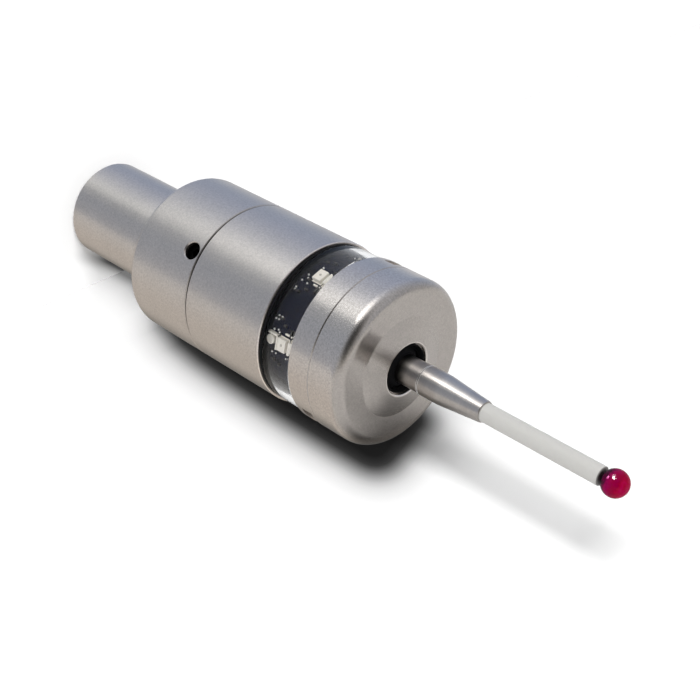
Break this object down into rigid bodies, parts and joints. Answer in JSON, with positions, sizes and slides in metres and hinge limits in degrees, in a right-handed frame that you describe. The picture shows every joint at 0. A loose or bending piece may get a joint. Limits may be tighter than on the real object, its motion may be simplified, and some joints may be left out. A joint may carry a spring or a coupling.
{
  "type": "touch probe",
  "caption": "Machine tool touch probe: round shank and collar, steel body with an infrared window, and a sprung ceramic stylus with a ruby ball.",
  "frame": {"origin": "centre of the shank's rear face, on which the probe stands", "axes": "+Z along the probe from the shank to the stylus ball; +X through one of the four adjusting screws; +Y and -Y through the two spanner slots"},
  "size_m": [0.04, 0.04, 0.1676],
  "materials": {
    "turned_steel": "satin, finely turned",
    "stylus_steel": "smooth, finely turned",
    "hard_steel": "ground",
    "black_steel": "black oxide",
    "spring_steel": "drawn wire",
    "core_aluminium": "dark anodised",
    "liner_bronze": "machined",
    "contact_brass": "plated",
    "seal_rubber": "matt",
    "diaphragm_rubber": "matt",
    "circuit_board": "board lacquer",
    "flex_film": "black film",
    "black_moulding": "moulded",
    "cell_can": "shrink sleeve",
    "chip_black": "moulded",
    "chip_ceramic": "fired, with tinned ends",
    "light_ceramic": "white ceramic package",
    "window_glass": "polished clear",
    "lens_glass": "polished clear",
    "stem_ceramic": "matt white",
    "ruby": "polished ruby"
  },
  "bodies": {
    "probe_body": {"shank_adaptor": "turned_steel", "adjusting_screws": "black_steel", "centring_ball": "hard_steel", "mounting_spigot": "hard_steel", "spigot_screws": "black_steel", "rear_plate": "core_aluminium", "rear_seal": "seal_rubber", "body_sleeve": "turned_steel", "contact_board": "circuit_board", "battery_holder": "black_moulding", "battery_cells": "cell_can", "battery_contacts": "contact_brass", "main_board": "circuit_board", "board_parts": "chip_black", "window_core": "core_aluminium", "flexible_board": "flex_film", "infrared_lights": "light_ceramic", "receivers": "light_ceramic", "chip_parts": "chip_ceramic", "window": "window_glass", "window_rear_seal": "seal_rubber", "window_gasket": "seal_rubber", "nose_ring": "turned_steel", "front_cap": "turned_steel", "diaphragm": "diaphragm_rubber", "diaphragm_clamp": "core_aluminium", "mechanism_housing": "core_aluminium", "socket_ring": "hard_steel", "socket_retainer": "hard_steel", "sensor_board": "circuit_board", "optical_sensor": "chip_black", "spring_adjuster": "liner_bronze", "return_spring": "spring_steel"},
    "liner": {"socket_liner": "liner_bronze"},
    "bush": {"ball_bush": "hard_steel"},
    "stylus": {"stylus_holder": "stylus_steel", "focusing_lens": "lens_glass", "stylus_base": "stylus_steel", "stylus_stem": "stem_ceramic", "stylus_ball": "ruby"}
  },
  "joints": [
    {"name": "tilt_x", "type": "hinge", "parent": "probe_body", "child": "liner", "pos_m": [0, 0, 0.10225], "axis": [1, 0, 0], "range_deg": [-12.5, 12.5], "stiffness_Nm_per_rad": 0.45, "deforming": ["diaphragm"]},
    {"name": "tilt_y", "type": "hinge", "parent": "liner", "child": "bush", "pos_m": [0, 0, 0.10225], "axis": [0, 1, 0], "range_deg": [-12.5, 12.5], "stiffness_Nm_per_rad": 0.45},
    {"name": "plunge", "type": "slide", "parent": "bush", "child": "stylus", "axis": [0, 0, -1], "range_m": [0, 0.006], "stiffness_N_per_m": 800, "springref_m": -0.0066, "deforming": ["return_spring"]}
  ]
}
